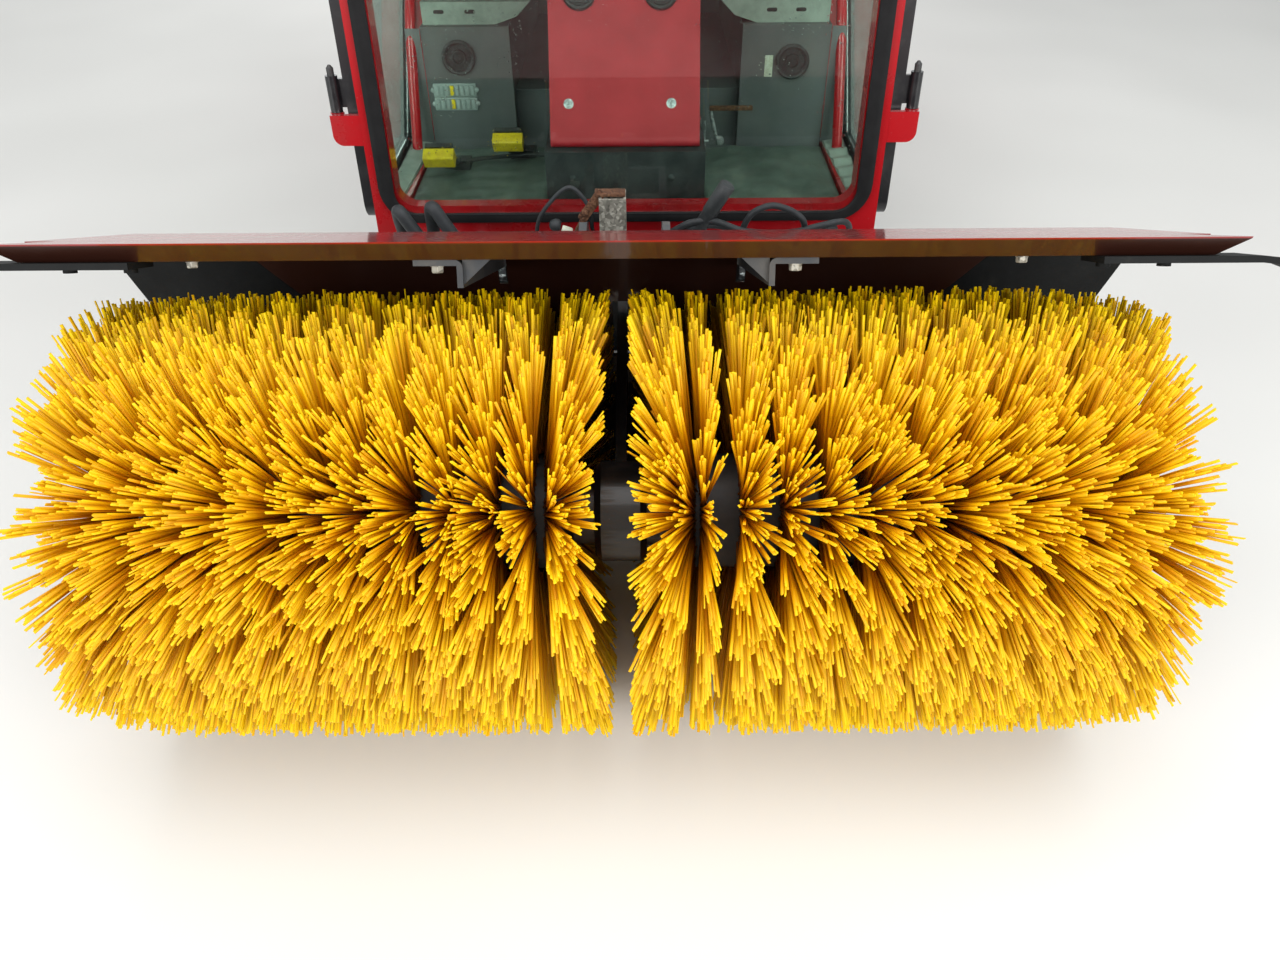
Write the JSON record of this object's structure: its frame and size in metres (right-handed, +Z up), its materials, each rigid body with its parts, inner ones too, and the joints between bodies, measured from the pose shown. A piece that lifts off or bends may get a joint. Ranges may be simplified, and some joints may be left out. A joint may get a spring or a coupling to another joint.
{
  "type": "compact road sweeper",
  "caption": "Compact articulated carrier with a glazed two-seat cab, lift arm and yellow roller broom under a folded red hood; doors, wheels, broom, hood and steering move.",
  "frame": {"origin": "on the ground under the middle of the whole machine", "axes": "+X the machine's left side, -Y the way it drives forward, +Z up"},
  "size_m": [1.924, 4.069, 2.0906],
  "materials": {
    "red_paint": "gloss",
    "black_paint": "satin",
    "grey_paint": "satin",
    "dark_steel": "satin",
    "zinc_steel": "satin",
    "rim_paint": "satin",
    "tyre_rubber": "matte",
    "seal_rubber": "matte",
    "flap_rubber": "matte",
    "bristle_plastic": "satin",
    "dark_plastic": "satin",
    "roof_plastic": "gloss",
    "tinted_glass": "gloss",
    "seat_vinyl": "matte",
    "grey_plastic": "satin",
    "pedal_yellow": "satin",
    "amber_plastic": "gloss",
    "lamp_plastic": "gloss",
    "red_lens": "gloss",
    "engine_iron": "matte"
  },
  "bodies": {
    "front_frame": {"front_chassis": "dark_steel", "front_axle": "dark_steel", "cab_tub": "dark_steel", "cab_frame": "red_paint", "cab_roof": "roof_plastic", "windscreen": "tinted_glass", "windscreen_seal": "seal_rubber", "fixed_glass": "tinted_glass", "hinge_brackets": "red_paint", "console": "red_paint", "console_base": "dark_plastic", "dashboard": "dark_plastic", "pedal_arms": "dark_steel", "pedal_pads": "pedal_yellow", "seat_pans": "grey_plastic", "seat_cushions": "seat_vinyl", "mirrors": "dark_plastic", "roof_lamps": "lamp_plastic", "beacon": "amber_plastic", "wiper": "black_paint", "front_couplings": "zinc_steel", "fenders_front": "dark_plastic"},
    "wheel_front_left": {"tyre_front_left": "tyre_rubber", "rim_front_left": "rim_paint"},
    "wheel_front_right": {"tyre_front_right": "tyre_rubber", "rim_front_right": "rim_paint"},
    "wheel_rear_left": {"tyre_rear_left": "tyre_rubber", "rim_rear_left": "rim_paint"},
    "wheel_rear_right": {"tyre_rear_right": "tyre_rubber", "rim_rear_right": "rim_paint"},
    "door_leaf_left": {"door_left": "black_paint", "door_glass_left": "tinted_glass"},
    "door_leaf_right": {"door_right": "black_paint", "door_glass_right": "tinted_glass"},
    "lift_linkage": {"lift_arm": "grey_paint", "coupler_post": "zinc_steel"},
    "lift_cylinder_barrel": {"lift_barrel": "black_paint"},
    "lift_cylinder_rod": {"lift_rod": "zinc_steel"},
    "broom_carrier": {"broom_beam": "grey_paint", "centre_arm": "black_paint", "hood_arms": "grey_paint", "hood": "red_paint", "rear_flap": "flap_rubber", "side_flaps": "flap_rubber"},
    "angle_cylinder_barrel": {"angle_barrel": "black_paint"},
    "angle_cylinder_rod": {"angle_rod": "zinc_steel"},
    "roller": {"roller_core": "dark_steel", "brush_left": "bristle_plastic", "brush_right": "bristle_plastic"},
    "rear_frame": {"rear_chassis": "dark_steel", "rear_axle": "dark_steel", "rear_body": "red_paint", "fenders_rear": "dark_plastic", "engine_block": "engine_iron", "tail_lamps": "red_lens"},
    "engine_cover": {"engine_hood": "red_paint"},
    "steer_cylinder_barrel": {"steer_barrel": "black_paint"},
    "steer_cylinder_rod": {"steer_rod": "zinc_steel"}
  },
  "joints": [
    {"name": "wheel_front_left_spin", "type": "hinge", "parent": "front_frame", "child": "wheel_front_left", "pos_m": [0.455, 0.1595, 0.32], "axis": [1, 0, 0], "continuous": true},
    {"name": "wheel_front_right_spin", "type": "hinge", "parent": "front_frame", "child": "wheel_front_right", "pos_m": [-0.455, 0.1595, 0.32], "axis": [1, 0, 0], "continuous": true},
    {"name": "wheel_rear_left_spin", "type": "hinge", "parent": "rear_frame", "child": "wheel_rear_left", "pos_m": [0.455, 1.5045, 0.32], "axis": [1, 0, 0], "continuous": true},
    {"name": "wheel_rear_right_spin", "type": "hinge", "parent": "rear_frame", "child": "wheel_rear_right", "pos_m": [-0.455, 1.5045, 0.32], "axis": [1, 0, 0], "continuous": true},
    {"name": "door_left_hinge", "type": "hinge", "parent": "front_frame", "child": "door_leaf_left", "pos_m": [0.625, -0.71152, 0.64086], "axis": [0, -0.0698, -0.9976], "range_deg": [0, 75]},
    {"name": "door_right_hinge", "type": "hinge", "parent": "front_frame", "child": "door_leaf_right", "pos_m": [-0.625, -0.71152, 0.64086], "axis": [0, 0.0698, 0.9976], "range_deg": [0, 75]},
    {"name": "lift", "type": "hinge", "parent": "front_frame", "child": "lift_linkage", "pos_m": [0, -0.8105, 0.33], "axis": [-1, 0, 0], "range_deg": [0, 20]},
    {"name": "broom_swing", "type": "hinge", "parent": "lift_linkage", "child": "broom_carrier", "pos_m": [0, -1.1055, 0.405], "axis": [0, 0, 1], "range_deg": [-20, 20]},
    {"name": "roller_spin", "type": "hinge", "parent": "broom_carrier", "child": "roller", "pos_m": [0, -1.6845, 0.35], "axis": [1, 0, 0], "continuous": true},
    {"name": "articulation", "type": "hinge", "parent": "front_frame", "child": "rear_frame", "pos_m": [0, 0.7345, 0.412], "axis": [0, 0, 1], "range_deg": [-36, 36]},
    {"name": "engine_cover_tilt", "type": "hinge", "parent": "rear_frame", "child": "engine_cover", "pos_m": [0, 1.9865, 0.726], "axis": [-1, 0, 0], "range_deg": [0, 60]},
    {"name": "lift_barrel_pivot", "type": "hinge", "parent": "front_frame", "child": "lift_cylinder_barrel", "pos_m": [0, -0.4555, 0.29], "axis": [1, 0, 0], "range_deg": [-3, 1]},
    {"name": "lift_rod_slide", "type": "slide", "parent": "lift_cylinder_barrel", "child": "lift_cylinder_rod", "axis": [0, -0.9878, -0.1558], "range_m": [0, 0.0337]},
    {"name": "angle_barrel_pivot", "type": "hinge", "parent": "lift_linkage", "child": "angle_cylinder_barrel", "pos_m": [-0.165, -0.8705, 0.396], "axis": [0, 0, 1], "range_deg": [-9, 9]},
    {"name": "angle_rod_slide", "type": "slide", "parent": "angle_cylinder_barrel", "child": "angle_cylinder_rod", "axis": [-0.1491, -0.9888, 0], "range_m": [-0.0708, 0.0708]},
    {"name": "steer_barrel_pivot", "type": "hinge", "parent": "front_frame", "child": "steer_cylinder_barrel", "pos_m": [0.095, 0.2445, 0.262], "axis": [0, 0, 1], "range_deg": [-2, 2]},
    {"name": "steer_rod_slide", "type": "slide", "parent": "steer_cylinder_barrel", "child": "steer_cylinder_rod", "axis": [0, 1, 0], "range_m": [-0.0578, 0.0578]}
  ],
  "couplings": [
    {"joint": "lift_barrel_pivot", "follows": "lift", "ratio": -0.07938},
    {"joint": "lift_rod_slide", "follows": "lift", "m_per_rad": 0.09076},
    {"joint": "angle_barrel_pivot", "follows": "broom_swing", "ratio": 0.36028},
    {"joint": "angle_rod_slide", "follows": "broom_swing", "m_per_rad": 0.19696},
    {"joint": "steer_barrel_pivot", "follows": "articulation", "ratio": -0.00679},
    {"joint": "steer_rod_slide", "follows": "articulation", "m_per_rad": 0.08881}
  ]
}
